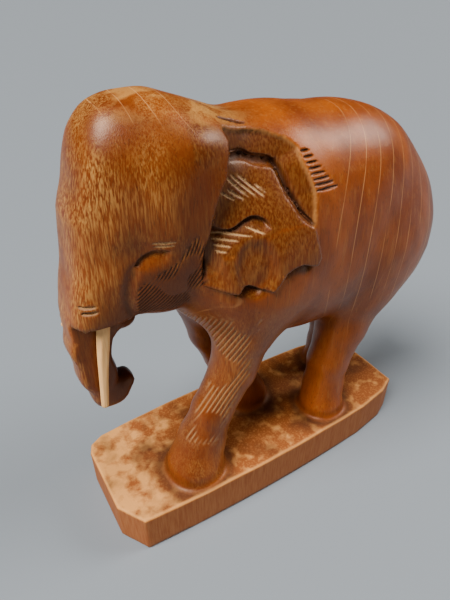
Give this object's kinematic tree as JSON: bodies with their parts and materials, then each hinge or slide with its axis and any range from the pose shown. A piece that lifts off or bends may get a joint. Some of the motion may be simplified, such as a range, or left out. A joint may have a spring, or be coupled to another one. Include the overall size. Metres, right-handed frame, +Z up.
{
  "type": "elephant carving",
  "caption": "Wooden carving of a walking elephant on a long base with cut corners, head lowered, ears carved in relief and slim inset tusks of pale wood.",
  "frame": {"origin": "centre of the base's underside", "axes": "+X the way the elephant walks, +Y its left side, +Z up"},
  "size_m": [0.2166, 0.0829, 0.2282],
  "materials": {
    "lacquered_hardwood": "clear satin lacquer over red-brown hardwood, worn golden on the cut edges",
    "pale_wood": "whittled and lightly sealed"
  },
  "bodies": {
    "root": {"elephant_on_base": "lacquered_hardwood", "left_tusk": "pale_wood", "right_tusk": "pale_wood"}
  },
  "joints": []
}
